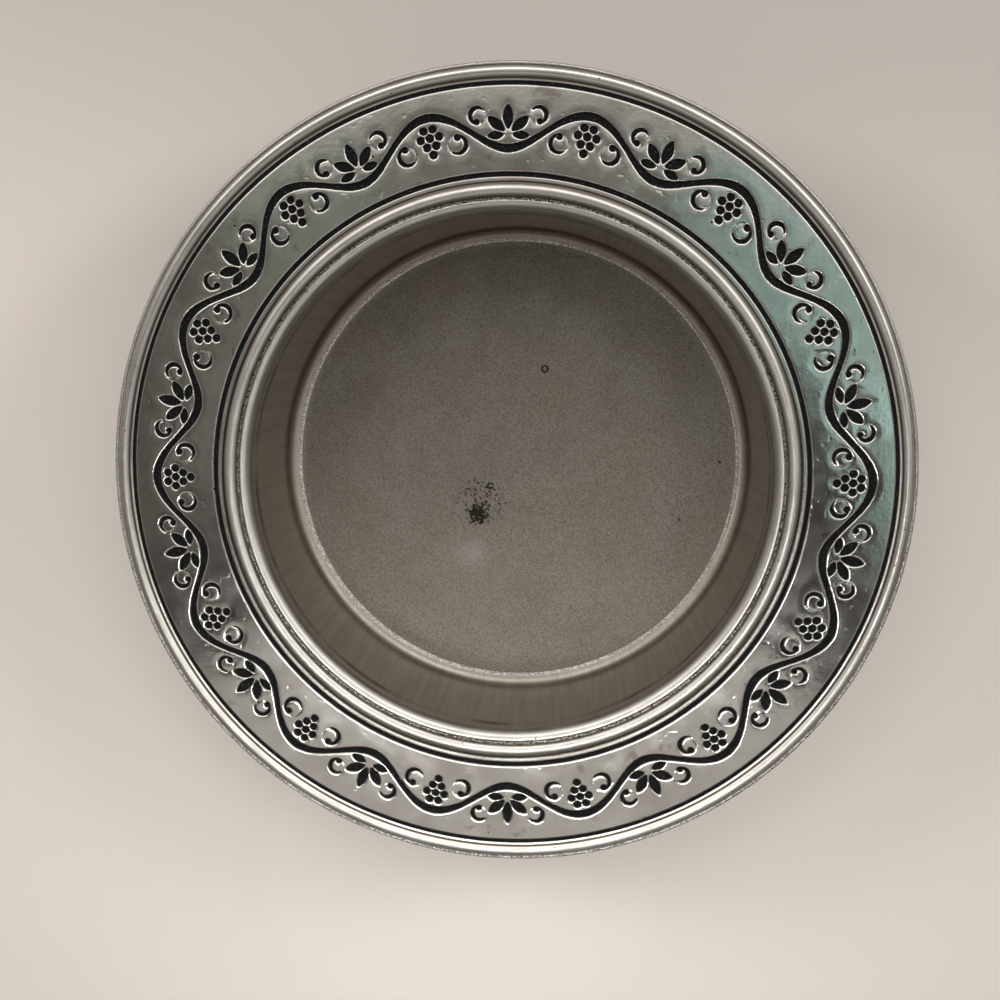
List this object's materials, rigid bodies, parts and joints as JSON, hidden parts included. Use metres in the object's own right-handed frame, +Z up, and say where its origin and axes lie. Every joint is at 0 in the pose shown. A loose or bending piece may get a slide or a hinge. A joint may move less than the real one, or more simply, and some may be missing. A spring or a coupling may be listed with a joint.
{
  "type": "wine bottle coaster",
  "caption": "Round cast-metal wine bottle coaster: a deep bottle well inside a broad flat rim with moulded beads and a sunk vine border filled with matt black.",
  "frame": {"origin": "centre of the flat ring that the coaster stands on, on the well's axis", "axes": "+Z up along the well's axis; +X to the right and +Y to the top of the picture, which looks down into the well"},
  "size_m": [0.152, 0.152, 0.0312],
  "materials": {
    "cast_metal": "sand cast, polished on the rim and left satin in the well",
    "black_filling": "matt black antiquing, left in the sunk grooves and border"
  },
  "bodies": {
    "root": {"cast_dish": "cast_metal", "outer_groove_black": "black_filling", "inner_groove_black": "black_filling", "vine_stem_black": "black_filling", "vine_leaf_black": "black_filling", "grape_black": "black_filling", "tendril_black": "black_filling"}
  },
  "joints": []
}
